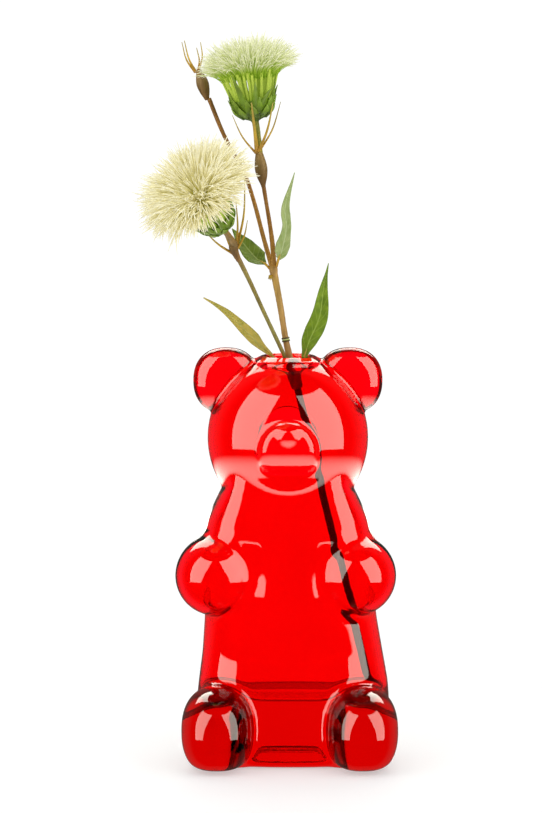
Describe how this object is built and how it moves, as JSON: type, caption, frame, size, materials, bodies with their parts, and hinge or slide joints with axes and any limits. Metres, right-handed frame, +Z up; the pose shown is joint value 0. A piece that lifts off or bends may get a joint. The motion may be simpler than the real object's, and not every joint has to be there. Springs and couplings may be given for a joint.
{
  "type": "bear-shaped glass vase with artificial flower spray",
  "caption": "Hollow red glass vase shaped like a sitting bear, open at the crown of the head, holding a lift-out artificial spray of fringed flowers, a bud and leaves.",
  "frame": {"origin": "centre of the flat underside of the vase's trunk, on the surface it stands on", "axes": "+Z up; the bear's face, hands and feet point along -Y; +X is to the right when the bear is seen from the front"},
  "size_m": [0.1329, 0.1, 0.3853],
  "materials": {
    "red_glass": "gloss",
    "steel_wire": "satin",
    "stem_plastic": "matte",
    "ferrule_plastic": "satin",
    "bulb_plastic": "satin",
    "tendril_plastic": "satin",
    "calyx_plastic": "matte",
    "bract_plastic": "matte",
    "floret_fibre": "matte",
    "white_fringe": "matte",
    "cream_fringe": "matte",
    "leaf_fabric": "satin",
    "dry_leaf_fabric": "satin"
  },
  "bodies": {
    "vase": {"vase_body": "red_glass"},
    "spray": {"main_stem": "stem_plastic", "core_wire": "steel_wire", "crown_socket": "stem_plastic", "right_branch": "stem_plastic", "ring_ferrule": "ferrule_plastic", "fork_socket": "stem_plastic", "upper_branch": "stem_plastic", "upper_bulb": "bulb_plastic", "upper_tendrils": "tendril_plastic"},
    "left_arm": {"left_branch": "stem_plastic", "lower_bulb": "bulb_plastic", "lower_tendrils": "tendril_plastic"},
    "bud_arm": {"bud_branch": "stem_plastic", "bud_bulb": "bulb_plastic", "bud_tendrils": "tendril_plastic"},
    "upper_head": {"upper_calyx": "calyx_plastic", "upper_bracts": "bract_plastic", "upper_florets": "floret_fibre", "upper_fringe_inner": "white_fringe", "upper_fringe_middle": "white_fringe", "upper_fringe_outer": "white_fringe"},
    "lower_head": {"lower_calyx": "calyx_plastic", "lower_bracts": "bract_plastic", "lower_florets": "floret_fibre", "lower_fringe_inner": "cream_fringe", "lower_fringe_middle": "cream_fringe", "lower_fringe_outer": "cream_fringe"},
    "left_leaf": {"left_leaf_stalk": "tendril_plastic", "left_leaf_blade": "dry_leaf_fabric"},
    "right_leaf": {"right_leaf_stalk": "tendril_plastic", "right_leaf_blade": "leaf_fabric"},
    "fork_leaf": {"fork_leaf_stalk": "tendril_plastic", "fork_leaf_blade": "leaf_fabric"},
    "upper_leaf": {"upper_leaf_stalk": "tendril_plastic", "upper_leaf_blade": "leaf_fabric"}
  },
  "joints": [
    {"name": "spray_lift", "type": "slide", "parent": "vase", "child": "spray", "axis": [-0.2352, 0, 0.9719], "range_m": [0, 0.19]},
    {"name": "left_branch_turn", "type": "hinge", "parent": "spray", "child": "left_arm", "pos_m": [0.00167, -0.00347, 0.20869], "axis": [-0.4032, -0.0963, 0.91], "range_deg": [-20, 20]},
    {"name": "bud_branch_turn", "type": "hinge", "parent": "spray", "child": "bud_arm", "pos_m": [-0.01, 0.00298, 0.26731], "axis": [-0.3409, 0.3509, 0.8722], "range_deg": [-20, 4]},
    {"name": "upper_head_turn", "type": "hinge", "parent": "spray", "child": "upper_head", "pos_m": [-0.01731, 0, 0.34025], "axis": [-0.126, 0, 0.992], "continuous": true},
    {"name": "lower_head_turn", "type": "hinge", "parent": "left_arm", "child": "lower_head", "pos_m": [-0.03403, -0.01829, 0.28481], "axis": [-0.4482, -0.5913, 0.6704], "continuous": true},
    {"name": "left_leaf_turn", "type": "hinge", "parent": "spray", "child": "left_leaf", "pos_m": [-0.00101, 0.0025, 0.20691], "axis": [-0.6816, 0.1203, 0.7217], "range_deg": [-45, 45]},
    {"name": "right_leaf_turn", "type": "hinge", "parent": "spray", "child": "right_leaf", "pos_m": [0.0074, 0.0044, 0.20972], "axis": [0.2401, 0.12, 0.9633], "range_deg": [-45, 45]},
    {"name": "fork_leaf_turn", "type": "hinge", "parent": "spray", "child": "fork_leaf", "pos_m": [-0.01175, 0.0036, 0.26455], "axis": [-0.6202, 0.4802, 0.6202], "range_deg": [-45, 45]},
    {"name": "upper_leaf_turn", "type": "hinge", "parent": "spray", "child": "upper_leaf", "pos_m": [-0.0053, -0.00225, 0.26682], "axis": [0.2401, -0.3001, 0.9232], "range_deg": [-45, 45]}
  ]
}
